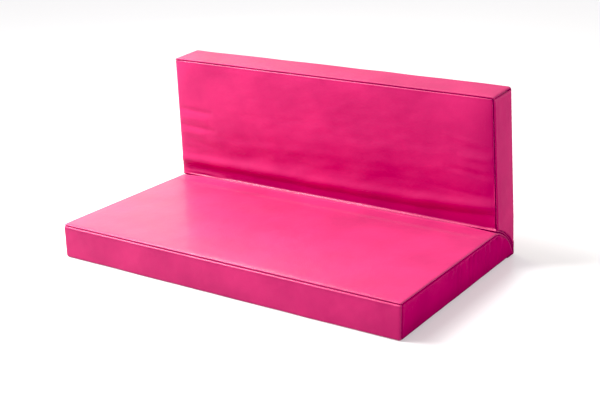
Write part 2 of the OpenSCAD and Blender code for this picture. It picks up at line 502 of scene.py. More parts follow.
def material(name, colour, roughness, **sockets):
    mat = bpy.data.materials.new(name)
    mat.use_nodes = True
    shader = mat.node_tree.nodes["Principled BSDF"]
    shader.inputs["Base Color"].default_value = (*colour, 1)
    shader.inputs["Roughness"].default_value = roughness
    for socket, value in sockets.items():
        shader.inputs[socket.replace("_", " ")].default_value = value
    return mat, shader


def node(mat, kind, **values):
    made = mat.node_tree.nodes.new(kind)
    for key, value in values.items():
        if key in made.inputs:
            made.inputs[key].default_value = value
        else:
            setattr(made, key, value)
    return made


def link(mat, source, target):
    mat.node_tree.links.new(source, target)


def texture(mat, kind, **values):
    """A procedural texture laid out in the object's own space."""
    where = node(mat, "ShaderNodeTexCoord")
    made = node(mat, kind, **values)
    link(mat, where.outputs["Object"], made.inputs["Vector"])
    return made.outputs


def noise(mat, scale, detail, roughness=0.5):
    made = texture(mat, "ShaderNodeTexNoise", Scale=scale, Detail=detail, Roughness=roughness)
    return made["Fac"]


def ramp(mat, source, *stops):
    """Colours along a value: each stop is (place, colour)."""
    made = node(mat, "ShaderNodeValToRGB")
    elements = made.color_ramp.elements
    while len(elements) < len(stops):
        elements.new(0.5)
    for element, (place, colour) in zip(elements, stops):
        element.position = place
        element.color = (*colour, 1)
    link(mat, source, made.inputs["Fac"])
    return made.outputs["Color"]


def cells(mat, scale, feature="F1"):
    return texture(mat, "ShaderNodeTexVoronoi", feature=feature, Scale=scale)["Distance"]


def shade(colour, share):
    return [share * c for c in colour]


def map_range(mat, value, start, end, low_value, high_value, kind="LINEAR"):
    """The value's run from start to end, laid over low_value to high_value."""
    made = node(mat, "ShaderNodeMapRange", interpolation_type=kind)
    limits = (start, end, low_value, high_value)
    for name, limit in zip(("From Min", "From Max", "To Min", "To Max"), limits):
        made.inputs[name].default_value = limit
    link(mat, value, made.inputs["Value"])
    return made.outputs["Result"]


def mixed(mat, amount, first, colour):
    """The first colour where amount is 0, and a fixed one where it is 1."""
    made = node(mat, "ShaderNodeMix", data_type="RGBA")
    link(mat, amount, made.inputs["Factor"])
    link(mat, first, made.inputs[6])
    made.inputs[7].default_value = (*colour, 1)
    return made.outputs[2]


def raised(mat, shader, *layers):
    """Fine relief from layers of (height, strength, distance), one over the other."""
    normal = None
    for height, strength, distance in layers:
        made = node(mat, "ShaderNodeBump", Strength=strength, Distance=distance)
        link(mat, height, made.inputs["Height"])
        if normal is not None:
            link(mat, normal, made.inputs["Normal"])
        normal = made.outputs["Normal"]
    link(mat, normal, shader.inputs["Normal"])


# The paler tint of the painted highlight along bent edges
PAINTED_HIGHLIGHT = (0.55, 0.27, 0.37)


def paint_highlights_and_shade(mat, dye, colour, occlusion_shade):
    """Painted light and shade: paler where the cover is bent over an edge, as a painted highlight,
    and darker in its seams, folds and sheltered places, as painted shade.
    """
    bend = node(mat, "ShaderNodeNewGeometry").outputs["Pointiness"]
    # Painted highlight: a paler tint where the surface bends outwards over an edge
    highlight_mask = map_range(mat, bend, 0.51, 0.58, 0, 0.20, "SMOOTHSTEP")
    with_highlight = mixed(mat, highlight_mask, dye, [0.4 * c + add for c, add in zip(colour, PAINTED_HIGHLIGHT)])
    # Painted shade: darker where the surface bends inwards, in seams and folds
    seam_shade_mask = map_range(mat, bend, 0.492, 0.43, 0, 0.85, "SMOOTHSTEP")
    deep = mixed(mat, seam_shade_mask, with_highlight, shade(colour, 0.22))
    # Painted shade: darker where other surfaces are close by and shelter it
    shelter = node(mat, "ShaderNodeAmbientOcclusion", Distance=0.045, samples=8)
    hidden = map_range(mat, shelter.outputs["AO"], 1, 0.25, 0, occlusion_shade)
    return mixed(mat, hidden, deep, shade(colour, 0.45))


def vinyl(name, colour, roughness=0.42, grain=0.30, spread_of=0.09, coat=0.14, sheen=0.10,
          occlusion_shade=0.65):
    """Coated vinyl: a fine pebble grain, slightly uneven dye, and a satin sheen, with painted
    highlights on its bent edges and painted shade in its seams and sheltered places.
    """
    mat, shader = material(name, colour, roughness, IOR=1.5, Sheen_Weight=sheen,
                           Coat_Weight=coat, Coat_Roughness=0.16, Sheen_Roughness=0.45)
    shader.inputs["Specular Tint"].default_value = (1.0, 0.15, 0.3, 1)
    shader.inputs["Sheen Tint"].default_value = (1.0, 0.66, 0.80, 1)
    darker = shade(colour, 1 - spread_of)
    lighter = [min(1, c * (1 + spread_of)) for c in colour]
    dye = ramp(mat, noise(mat, 9, 4), (0.35, darker), (0.5, colour), (0.65, lighter))
    # Painted highlights on bent edges and painted shade in seams and sheltered places, over the dye
    link(mat, paint_highlights_and_shade(mat, dye, colour, occlusion_shade), shader.inputs["Base Color"])
    gloss = map_range(mat, noise(mat, 14, 3), 0, 1, roughness - 0.05, roughness + 0.07)
    link(mat, gloss, shader.inputs["Roughness"])
    raised(mat, shader, (cells(mat, 520, "SMOOTH_F1"), grain, 0.6 * MM),
           (noise(mat, 45, 5, 0.6), 0.20, 3 * MM))
    return mat


def cloth(name, colour, pitch=1.1 * MM, roughness=0.85):
    """Woven tape: over-and-under threads as colour and relief; the colour, darker where the threads
    dip, is painted shade.
    """
    mat, shader = material(name, colour, roughness)
    both = node(mat, "ShaderNodeMath", operation="MAXIMUM")
    for direction, socket in zip(("X", "DIAGONAL"), both.inputs):
        weave = texture(mat, "ShaderNodeTexWave", bands_direction=direction, Scale=1 / pitch / 6)
        link(mat, weave["Fac"], socket)
    # Painted shade where the threads dip under
    dye = ramp(mat, both.outputs[0], (0, shade(colour, 0.55)), (1, colour))
    link(mat, dye, shader.inputs["Base Color"])
    raised(mat, shader, (both.outputs[0], 0.5, 0.3 * MM))
    return mat


def foam_block(name, colour):
    """Open-cell foam, darker down in its pores as painted shade."""
    mat, shader = material(name, colour, 0.95)
    pores = cells(mat, 420)
    # Painted shade down in the pores
    dye = ramp(mat, pores, (0.1, shade(colour, 0.6)), (0.5, colour))
    link(mat, dye, shader.inputs["Base Color"])
    raised(mat, shader, (pores, 0.8, 1 * MM))
    return mat


def metal(name, colour, roughness=0.3):
    """Die-cast zip metal, brushed a little."""
    mat, shader = material(name, colour, roughness, Metallic=1.0)
    gloss = map_range(mat, noise(mat, 900, 2), 0, 1, roughness - 0.08, roughness + 0.15)
    link(mat, gloss, shader.inputs["Roughness"])
    raised(mat, shader, (noise(mat, 1500, 2), 0.15, 0.2 * MM))
    return mat


def moulded(name, colour, roughness=0.45):
    """Nylon, with a faint unevenness."""
    mat, shader = material(name, colour, roughness)
    dye = ramp(mat, noise(mat, 300, 2), (0.3, shade(colour, 0.85)), (0.7, colour))
    link(mat, dye, shader.inputs["Base Color"])
    raised(mat, shader, (noise(mat, 1200, 2), 0.1, 0.2 * MM))
    return mat


# One vinyl, dyed panel by panel to make up for light that the stage below doesn't reproduce
PINK = (0.52, 0.032, 0.128)
END_PINK = (0.54, 0.018, 0.122)
cover_vinyl = vinyl("cover_vinyl", PINK, occlusion_shade=0.88)
side_vinyl = vinyl("side_vinyl", shade(PINK, 1.16))
seat_vinyl = vinyl("seat_vinyl", PINK, coat=0.22, sheen=0.16, occlusion_shade=0.12)
end_vinyl = vinyl("end_vinyl", END_PINK, coat=0.06, sheen=0.0, roughness=0.46)
band_vinyl = vinyl("band_vinyl", shade(PINK, 0.82), coat=0.0, sheen=0.02, roughness=0.5)
base_vinyl = vinyl("base_vinyl", shade(PINK, 0.72), roughness=0.6, grain=0.6)
thread = cloth("thread", shade(PINK, 0.62), 0.4 * MM, 0.6)
zip_cloth = cloth("zip_cloth", shade(PINK, 0.55))
zip_coil = moulded("zip_coil", shade(PINK, 0.5))
zip_metal = metal("zip_metal", (0.62, 0.63, 0.66))
foam_cream = foam_block("foam_cream", (0.86, 0.80, 0.62))


# ---- Seat covers ----

ABOVE_FOOT = BACK.at([BACK.marks["front_low"]])[0][0, 1] - CREASE_W
SEAM_IN_FRONT = SEAT.marks["front_high"] + math.radians(10) * EDGE_R
SEAM_BELOW = SEAT.marks["front_low"] - math.radians(75) * EDGE_R
SEAM_TIP = SEAT.marks["under"] - math.radians(15) * TIP_R
SUNK = SKIN + 0.25 * MM


def strip_step(from_hinge):
    """The cover is sunk under the hinge strip by the strip's thickness."""
    return -SUNK * eased((STRIP_W + 2 * MM - from_hinge) / (4 * MM))


def seat_top_relief(x, s, to_end, to_start, to_stop):
    before = SEAT.marks["crease"] - s
    on_top = np.clip(before / (30 * MM), 0, 1)
    deep = SEAT.marks["crease"] - SEAM_IN_FRONT
    long_way = lengthways(x)
    puff = 2.4 * MM * long_way * crown((s - SEAM_IN_FRONT) / deep)
    lip_in = np.clip((HALF_L - np.abs(x)) / (90 * MM), 0, 1)**0.7
    lip = lip_in * (5.0 * MM * bump(before - 6.5 * MM, 5 * MM)
                    + 1.6 * MM * bump(before - 15 * MM, 11 * MM)
                    - 2.4 * MM * bump(before - 42 * MM, 18 * MM))
    soft = 0.5 * MM * waves(x, s, 11, 210 * MM) + 0.12 * MM * waves(x, s, 12, 55 * MM)
    edges = seams(x, s, to_end, to_start, to_stop)
    edges = edges - 1.8 * MM * np.exp(-to_start / (8 * MM))
    return edges + (puff + soft * long_way) * on_top + lip


def seat_front_relief(x, s, to_end, to_start, to_stop):
    puff = 1.6 * MM * cushion(x, to_start, to_stop)
    soft = 0.35 * MM * waves(x, s, 21, 150 * MM) + 0.1 * MM * waves(x, s, 22, 40 * MM)
    return seams(x, s, to_end, to_start, to_stop) + puff + soft * bump(to_end, 1)


def base_relief(x, s, to_end, to_start, to_stop):
    """Flat on the floor: only the seams and the sunk part under the strip."""
    y = SEAT.at(s.ravel())[0][:, 0].reshape(s.shape)
    grip = -0.25 * MM * (1 + waves(x, y, 31, 60 * MM)).clip(0, 2)
    flat = np.minimum(seams(x, s, to_end, to_start, to_stop, ridge=0), 0)
    off_slot = np.abs(y - SEAT_ZIP_Y) - SLOT_HALF
    dip = -STITCH_DIP * bump(off_slot - SLOT_ROW, 1.3 * MM)
    return np.minimum(flat + grip, 0) + strip_step(HINGE[0] - y) + dip


def tip_relief(x, s, to_end, to_start, to_stop):
    """Top cover: its part under the strip near the tip is sunk too."""
    facing = SEAT.at(s.ravel())[1]
    down = (facing[:, 1] < 0).reshape(s.shape)
    return seat_top_relief(x, s, to_end, to_start, to_stop) + np.where(down, -SUNK, 0.0)


seat_panels = (
    ("seat_top_cover", SEAM_IN_FRONT, SEAM_TIP, tip_relief, "seat_top_panel", seat_vinyl,
     (5 * MM, 2.5 * MM)),
    ("seat_front_cover", SEAM_BELOW, SEAM_IN_FRONT, seat_front_relief, "seat_front_band",
     seat_vinyl, (4.5 * MM, 4.5 * MM)),
    ("seat_base_cover", 0, SEAM_BELOW, base_relief, "seat_base_panel", base_vinyl,
     (9 * MM, 9 * MM)),
    ("seat_base_rear_cover", SEAM_TIP, SEAT.length, base_relief, "seat_base_rear_panel",
     base_vinyl, (9 * MM, 4 * MM)),
)
for name, start, stop, relief, cad_node, skin_of, steps in seat_panels:
    panel = tube_panel(name, SEAT, start, stop, relief, coarse=steps, end_r=seat_end_r,
                       rests=True)
    slot = "base_vinyl" if skin_of is base_vinyl else "vinyl"
    ride_cover(panel, "seat", skin_of, cad_node, slot=slot)


def tab_relief(x, s, to_end, to_start, to_stop):
    """Tucked a little under the covers that it joins."""
    return seams(x, s, to_end, to_start, to_stop, depth=1.6 * MM, ridge=0) - 0.25 * MM


slot_run = Path()
slot_run.line((SEAT_ZIP_Y + SLOT_HALF + 2 * MM, 0), (SEAT_ZIP_Y - SLOT_HALF - 2 * MM, 0), -UP)
for side, word in ENDS:
    tab = tube_panel(f"seat_zip_tab_{word}", slot_run, 0, slot_run.length, tab_relief,
                     rests=True, only=side, coarse=(2 * MM, 2 * MM))
    ride_cover(tab, "seat", base_vinyl, slot="base_vinyl")


def seat_cap_lines():
    front_mid = (SEAT.marks["front_high"] + SEAT.marks["top_front"]) / 2
    tip_mid = (SEAT.marks["tip"] + SEAT.marks["under"]) / 2
    upper = end_line(SEAT, spread(front_mid, tip_mid, 4 * MM), seat_end_r)
    tip_y = upper[-1, 0]
    under_r = np.clip(2.4 * MM + 0.25 * (tip_y - upper[:, 0]), 0, END_R)
    base_z = np.minimum(under_r * (1 - math.cos(END_TURN)), upper[:, 1] - 0.4 * MM)
    return np.stack([upper[:, 0], base_z], -1), upper


def streaks(y, z, seed, count, reach_y, reach_z, amount, width):
    """Short upright gathers that start at the upper seam and fade downwards."""
    rng = np.random.default_rng(seed)
    total = np.zeros_like(y)
    for place in np.linspace(*reach_y, count):
        middle = place + rng.uniform(-7, 7) * MM
        slant = rng.uniform(-0.12, 0.12)
        deep = rng.uniform(*reach_z)
        size = amount * rng.uniform(0.5, 1.0) * rng.choice([-1, 1], p=[0.45, 0.55])
        below = SEAT_T - z
        fade = np.exp(-(below / deep)**2) * np.clip(below / (14 * MM), 0, 1)
        total = total + size * fade * bump(y - middle - slant * below, width * rng.uniform(0.7, 1.4))
    return total


def seat_end_relief(y, z, to_seam):
    inner = np.clip(to_seam / (22 * MM), 0, 1)
    puff = 1.7 * MM * np.sqrt(inner)
    gathers = streaks(y, z, 41, 14, reach_y=(-70 * MM, 262 * MM), reach_z=(34 * MM, 95 * MM),
                      amount=4.0 * MM, width=7.5 * MM)
    gathers = gathers * np.clip(to_seam / (8 * MM), 0.15, 1)
    soft = 0.35 * MM * waves(y, z, 42, 90 * MM)
    return seam(to_seam, y + z) + puff + gathers + soft * inner


for side, word in ENDS:
    cap = cap_panel(f"seat_{word}_end_cover", side, *seat_cap_lines(), seat_end_relief,
                    rests=True)
    ride_cover(cap, "seat", end_vinyl, f"seat_end_band_{word}")


# ---- Backrest covers ----

zip_middle = np.mean([low("backrest_zip_teeth_upper"), high("backrest_zip_teeth_upper"),
                      low("backrest_zip_teeth_lower"), high("backrest_zip_teeth_lower")], axis=0)
BACK_ZIP_W = to_back(zip_middle[1:])[1]
REAR_TOP = BACK.marks["rear_high"] + BACK.at([BACK.marks["rear_high"]])[0][0, 1]
SEAM_FOOT = (BACK.marks["foot"] + BACK.marks["front_low"]) / 2
SEAM_TOP = (BACK.marks["front_high"] + BACK.marks["top_front"]) / 2
SEAM_REAR = (BACK.marks["top_rear"] + BACK.marks["rear_high"]) / 2
SLOT_TOP = REAR_TOP - BACK_ZIP_W - SLOT_HALF
SLOT_FOOT = REAR_TOP - BACK_ZIP_W + SLOT_HALF


NARROWING = 0.022


def narrow_top(w):
    """The backrest draws in slightly towards its top corners."""
    return 1 - NARROWING * np.clip((w - CREASE_W) / (BACK_TOP - CREASE_W), 0, 1)


# Short folds near the backrest's ends: from and to along X, from and to above the crease
# (metres), then how far each stands out, its half width and the run over which it fades (MM)
END_FOLDS = (
    ((-0.5, -0.37), (0.205, 0.199), (-2.0, 8, 30)),
    ((-0.5, -0.39), (0.180, 0.176), (1.3, 9, 30)),
    ((-0.5, -0.36), (0.156, 0.150), (-2.2, 8, 35)),
    ((-0.5, -0.40), (0.135, 0.133), (1.2, 7, 25)),
    ((-0.5, -0.42), (0.088, 0.090), (-0.9, 6, 25)),
    ((0.36, 0.49), (0.242, 0.222), (0.7, 8, 60)),
    ((0.37, 0.49), (0.222, 0.206), (-0.9, 9, 60)),
    ((0.40, 0.49), (0.192, 0.186), (1.6, 9, 40)),
    ((0.36, 0.49), (0.158, 0.144), (-1.7, 9, 40)),
    ((0.34, 0.49), (0.098, 0.088), (-0.9, 7, 40)),
)
DEEPEST = 7.2 * MM


def back_front_relief(x, s, to_end, to_start, to_stop):
    c = s - BACK.marks["front_low"] + ABOVE_FOOT
    tall = BACK_TOP - CREASE_W
    across = lengthways(x, 0.45)
    puff = 4.4 * MM * across * crown(np.clip(c / tall, 0, 1), 0.45)
    stations = (-0.47, -0.32, -0.07, 0.06, 0.24, 0.38, 0.5)
    over = np.interp(x, stations, (0.130, 0.122, 0.144, 0.150, 0.158, 0.160, 0.172))
    under = np.interp(x, stations, (0.108, 0.084, 0.090, 0.078, 0.072, 0.076, 0.084))
    drop = np.interp(x, (-0.49, -0.42, -0.28, 0.5), (0, -2.6, -4.4, -4.4)) * MM
    drop = drop * eased((over - c) / (over - under))
    ridge_size = np.interp(x, (-0.5, -0.2, 0.0, 0.14, 0.24, 0.36, 0.5),
                           (6.4, 5.8, 4.2, 2.6, 3.0, 4.2, 3.6)) * MM
    ridge_at = np.interp(x, stations, (0.051, 0.053, 0.054, 0.054, 0.055, 0.060, 0.064))
    low_ridge = ridge_size * bump(c - ridge_at, 15 * MM)
    tuck_at = np.interp(x, (-0.5, -0.3, 0.24, 0.38, 0.5), (0.029, 0.025, 0.023, 0.028, 0.033))
    tuck = -6.0 * MM * bump(np.maximum(c - tuck_at, 0), 14 * MM)
    tuck = tuck * np.clip(to_end / (35 * MM), 0.1, 1)
    shoulder = fold_line(x, c, (-0.42, 0.0, 0.45), (0.168, 0.172, 0.178), 0.9 * MM, 28 * MM)
    curl = fold_line(x, c, (-0.497, -0.42, -0.34), (0.011, 0.014, 0.009), 3.4 * MM, 4.5 * MM, 25 * MM)
    short = sum(fold_line(x, c, places, heights, *(size * MM for size in sizes))
                for places, heights, sizes in END_FOLDS)
    soft = 0.75 * MM * waves(x, c, 51, 170 * MM) + 0.17 * MM * waves(x, 3 * c, 52, 70 * MM)
    drag = 0.45 * MM * waves(0.35 * x, c, 53, 34 * MM) * bump(c - 0.10, 0.12)
    pillow = -5.4 * MM * (np.exp(-to_end / (19 * MM)) + 0.3 * np.exp(-to_stop / (11 * MM)))
    edges = seams(x, s, to_end, to_start, to_stop)
    calm = np.clip(to_end / (12 * MM), 0.1, 1) * np.clip(to_stop / (12 * MM), 0.1, 1)
    folds = low_ridge + drop + shoulder + short + tuck
    held = eased(to_start / (10 * MM))
    shape = edges + (puff + pillow + folds * calm + (soft + drag) * across) * held
    return np.maximum(shape, -DEEPEST) + curl


def back_top_relief(x, s, to_end, to_start, to_stop):
    puff = 1.9 * MM * cushion(x, to_start, to_stop)
    soft = 0.35 * MM * waves(x, s, 61, 160 * MM)
    return seams(x, s, to_end, to_start, to_stop) + puff + soft * bump(to_end, 1)


def back_rear_relief(x, s, to_end, to_start, to_stop):
    puff = 0.9 * MM * cushion(x, to_start, to_stop)
    soft = 0.4 * MM * waves(x, s, 71, 200 * MM) + 0.15 * MM * waves(x, 3 * s, 72, 80 * MM)
    inner = np.clip(to_end / (30 * MM), 0, 1)
    row = -STITCH_DIP * bump(to_stop - SLOT_ROW, 1.3 * MM)
    level = np.clip((to_stop - 5 * MM) / (8 * MM), 0, 1)
    edges = seams(x, s, to_end, to_start, to_stop, ridge=0.2 * MM)
    return edges + (puff + soft * inner) * level + row


def back_lower_relief(x, s, to_end, to_start, to_stop):
    from_hinge = REAR_TOP - s
    edges = seams(x, s, to_end, to_start, to_stop, depth=1.6 * MM, ridge=0.2 * MM)
    row = -STITCH_DIP * bump(to_start - SLOT_ROW, 1.3 * MM)
    return edges + strip_step(from_hinge) + row


def hidden_relief(x, s, to_end, to_start, to_stop):
    """Kept inside the closed joint's gap."""
    edges = seams(x, s, to_end, to_start, to_stop, ridge=0)
    return np.minimum(edges, 0) - 0.2 * MM * (1 + waves(x, s, 81, 120 * MM)).clip(0, 2)


back_panels = (
    ("backrest_mitre_cover", 0, SEAM_FOOT, hidden_relief, "backrest_mitre_panel", 7 * MM),
    ("backrest_front_cover", SEAM_FOOT, SEAM_TOP, back_front_relief, "backrest_front_panel",
     3.6 * MM),
    ("backrest_top_cover", SEAM_TOP, SEAM_REAR, back_top_relief, "backrest_top_band", 4 * MM),
    ("backrest_rear_cover", SEAM_REAR, SLOT_TOP, back_rear_relief, "backrest_rear_panel", 6 * MM),
    ("backrest_lower_rear_cover", SLOT_FOOT, BACK.length, back_lower_relief,
     "backrest_lower_rear_panel", 4 * MM),
)
for name, start, stop, relief, cad_node, step in back_panels:
    panel = tube_panel(name, BACK, start, stop, relief, coarse=(step, step), end_r=back_end_r,
                       place=from_back, narrow=narrow_top)
    skin_of = band_vinyl if name == "backrest_top_cover" else cover_vinyl
    ride_cover(panel, "backrest", skin_of, cad_node)


for side, word in ENDS:
    tab = tube_panel(f"backrest_zip_tab_{word}", BACK, SLOT_TOP - 2 * MM, SLOT_FOOT + 2 * MM,
                     tab_relief, place=from_back, narrow=narrow_top, only=side,
                     coarse=(2 * MM, 2 * MM))
    ride_cover(tab, "backrest", cover_vinyl)


def back_cap_lines():
    on_arc = spread(0, SEAM_FOOT, 4 * MM)
    on_front = spread(SEAM_FOOT, SEAM_TOP, 4 * MM)[1:]
    first = end_line(BACK, np.concatenate([on_arc, on_front]), back_end_r)
    share = (on_arc - on_arc[0]) / (on_arc[-1] - on_arc[0])
    w_lip = BACK.at([BACK.marks["rear_low"]])[0][0, 1]
    w_foot, w_top = first[len(on_arc) - 1, 1], end_line(BACK, np.array([SEAM_REAR]), back_end_r)[0, 1]
    up = (first[len(on_arc):, 1] - w_foot) / (first[-1, 1] - w_foot)
    rear_w = np.concatenate([w_lip + share * (w_foot - w_lip), w_foot + up * (w_top - w_foot)])
    return first, end_line(BACK, REAR_TOP - rear_w, back_end_r)


def back_end_relief(v, w, to_seam):
    inner = np.clip(to_seam / (22 * MM), 0, 1)
    soft = 0.35 * MM * waves(v, w, 91, 110 * MM) + 0.1 * MM * waves(v, w, 92, 35 * MM)
    return seam(to_seam, v + w) + 1.6 * MM * np.sqrt(inner) + soft * inner


for side, word in ENDS:
    cap = cap_panel(f"backrest_{word}_end_cover", side, *back_cap_lines(), back_end_relief,
                    place=from_back, narrow=narrow_top)
    ride_cover(cap, "backrest", side_vinyl, f"backrest_end_band_{word}")


# ---- Foam cores ----

INSET = 9 * MM
GROOVE_HALF, GROOVE_DEEP = 16 * MM, 10 * MM


def block(name, outline, place=None, narrow=None):
    """A closed block along X with a rounded outline, pinched a little at each end."""
    outline = np.asarray(outline)
    ends = HALF_L - INSET
    x = np.concatenate([[-ends, 1 * MM - ends], np.linspace(2 * MM - ends, ends - 2 * MM, 41),
                        [ends - 1 * MM, ends]])
    centre = outline.mean(0)
    shrink = np.ones(len(x))
    shrink[[0, -1]] = 0.985
    plane = centre + shrink[:, None, None] * (outline - centre)[None]
    points = along_x(x, plane)
    if narrow is not None:
        points[..., 0] *= narrow(points[..., 2])
    if place is not None:
        points = place(points)
    faces = tube_faces(*plane.shape[:2])
    return turned_out(new_mesh(name, points.reshape(-1, 3), faces, smooth=False))


def arc_points(centre, radius, first, last, count=28):
    turn = np.linspace(bearing(centre, first), bearing(centre, last), count)
    return np.stack([centre[0] + radius * np.cos(turn), centre[1] + radius * np.sin(turn)], -1)


def seat_core():
    r = MITRE_R - INSET
    top, base = SEAT_T - INSET, INSET
    crease, tip = (far_side(MITRE_C[0], r, z - MITRE_C[1]) for z in (top, base))
    front = INSET - HALF_D
    groove = (SEAT_ZIP_Y - GROOVE_HALF, SEAT_ZIP_Y + GROOVE_HALF)
    outline = [(groove[0], base), (front, base), (front, top)]
    outline += arc_points(MITRE_C, r, (crease, top), (tip, base)).tolist()
    outline += [(groove[1], base), (groove[1], GROOVE_DEEP), (groove[0], GROOVE_DEEP)]
    return block("seat_foam", outline)


def back_core():
    r = BACK_R + INSET
    rear, front, top = BACK_REAR - INSET, BACK_FRONT + INSET, BACK_TOP - INSET
    lip, foot = (far_side(BACK_C[1], r, v - BACK_C[0]) for v in (rear, front))
    groove = (BACK_ZIP_W - GROOVE_HALF, BACK_ZIP_W + GROOVE_HALF)
    deep = BACK_REAR - GROOVE_DEEP
    outline = arc_points(BACK_C, r, (rear, lip), (front, foot)).tolist()
    outline += [(front, top), (rear, top), (rear, groove[1]), (deep, groove[1])]
    outline += [(deep, groove[0]), (rear, groove[0])]
    return block("backrest_foam", outline, place=from_back, narrow=narrow_top)


for made, body in ((seat_core(), "seat"), (back_core(), "backrest")):
    ride_cover(made, body, foam_cream, f"{body}_foam_core", slot="foam")


# ---- Hinge strip: one length of cover vinyl from the base, round the bend and up the rear ----

def smooth_line(corners, step=0.4 * MM, soft=1.6 * MM):
    """A polyline with its corners softened, as evenly spaced points."""
    corners = np.asarray(corners)
    run = lengths(corners)
    count = int(run[-1] / step)
    reach = int(4 * soft / step)
    s = (np.arange(-reach, count + reach + 1)) * run[-1] / count
    line = np.stack([np.interp(s, run, corners[:, k]) for k in (0, 1)], -1)
    line[:reach] += (corners[0] - line[2 * reach:reach:-1])
    line[-reach:] += (corners[-1] - line[-reach - 2:-2 * reach - 2:-1])
    kernel = bump((np.arange(-reach, reach + 1)) * run[-1] / count, soft)
    kernel /= kernel.sum()
    return np.stack([np.convolve(line[:, k], kernel, "valid") for k in (0, 1)], -1)


CUT_BASE, CUT_REAR = 2.2 * MM, 3 * MM


def hinge_line():
    """Cut a little across the corner, so that the strip lies flat when the mat is unfolded."""
    y, z = HINGE
    up = [from_back([0, 0, w])[1:] for w in (CUT_REAR, STRIP_W)]
    return smooth_line([(y - STRIP_W, z), (y - CUT_BASE, z), *up])


def hinge_strip():
    line = hinge_line()
    along = lengths(line)
    ends = high("seat_hinge_strip")[0]
    x = spread(-ends, ends, 5 * MM, 1.2 * MM, 8 * MM)
    tangent = np.gradient(line, axis=0)
    tangent /= np.linalg.norm(tangent, axis=1, keepdims=True)
    facing = np.stack([tangent[:, 1], -tangent[:, 0]], -1)
    middle = along[-1] / 2
    to_edge = np.minimum(along, along[-1] - along)
    dip = sum(STITCH_DIP * bump(to_edge - row, 1.3 * MM) for row in STITCH_ROWS)
    at_bend = bump(along - middle, 7 * MM)
    loose = -0.3 * MM * at_bend[None] * (1 + waves(x[:, None], 0 * x[:, None], 101, 70 * MM))
    flare = 1.5 * MM * at_bend[None] * bump((ends - np.abs(x))[:, None], 9 * MM)
    height = SKIN / 2 - dip[None] + np.clip(loose, -0.6 * MM, 0) + flare
    plane = line[None] + height[..., None] * facing[None]
    plane[..., 1] = np.maximum(plane[..., 1], 0)
    points = along_x(x, plane)
    out = np.concatenate([np.zeros((*plane.shape[:2], 1)),
                          np.broadcast_to(facing[None], plane.shape)], -1)
    made = sheet_mesh("hinge_strip", points, normals_of(points, out), SKIN * 0.9)
    made.data.materials.append(cover_vinyl)
    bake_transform(made)
    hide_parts("seat_hinge_strip", "backrest_hinge_strip")
    return made


hinge_strip()


# ---- Stitches ----

def stitches(name, body, reach, place, pitch=3.6 * MM):
    """A row of thread stitches along X. place(x, side, height) puts them on their surface."""
    run = np.array([-1.6, -1.25, -0.5, 0.5, 1.25, 1.6]) * MM
    rise = np.array([-0.75, -0.28, -0.05, -0.05, -0.28, -0.75]) * MM
    thick = np.array([0.14, 0.27, 0.28, 0.28, 0.27, 0.14]) * MM
    turn = np.linspace(0, 2 * math.pi, 6, endpoint=False)
    side = thick[:, None] * np.cos(turn)
    height = rise[:, None] + thick[:, None] * (np.sin(turn) - 1)
    middles = np.arange(-reach, reach, pitch)
    rng = np.random.default_rng(len(name))
    middles = middles + rng.uniform(-0.12, 0.12, len(middles)) * MM
    x = middles[:, None, None] + run[None, :, None] + 0 * side[None]
    points = place(x, side[None] + 0 * x, height[None] + 0 * x).reshape(-1, 3)
    rings, sides = side.shape
    one = tube_faces(rings, sides)
    faces = [[k + n * rings * sides for k in f] for n in range(len(middles)) for f in one]
    ride_cover(turned_out(new_mesh(name, points, faces)), body, thread)


def on_base(y):
    return lambda x, side, height: np.stack([x, y + side, -height], -1)


def on_rear(w):
    return lambda x, side, height: from_back(np.stack([x, BACK_REAR + height, w + side], -1))


STITCH_REACH = HALF_L - 12 * MM
for number, row in enumerate(STITCH_ROWS):
    stitches(f"seat_strip_stitches_{number}", "seat", STITCH_REACH,
             on_base(HINGE[0] - STRIP_W + row))
    stitches(f"backrest_strip_stitches_{number}", "backrest", STITCH_REACH,
             on_rear(STRIP_W - row))
for word, turned in (("front", -1), ("rear", 1)):
    off = turned * (SLOT_HALF + SLOT_ROW)
    stitches(f"seat_zip_stitches_{word}", "seat", STITCH_REACH, on_base(SEAT_ZIP_Y + off))
for word, turned in (("upper", 1), ("lower", -1)):
    off = turned * (SLOT_HALF + SLOT_ROW)
    stitches(f"backrest_zip_stitches_{word}", "backrest", STITCH_REACH,
             on_rear(BACK_ZIP_W + off))


# ---- Zips ----

def seat_zip(points):
    """From a zip's own axes, Z outwards, to the seat's base."""
    x, y, z = np.moveaxis(points, -1, 0)
    return np.stack([x, SEAT_ZIP_Y - y, -z], -1)


def back_zip(points):
    x, y, z = np.moveaxis(points, -1, 0)
    return from_back(np.stack([x, BACK_REAR + z, BACK_ZIP_W - y], -1))


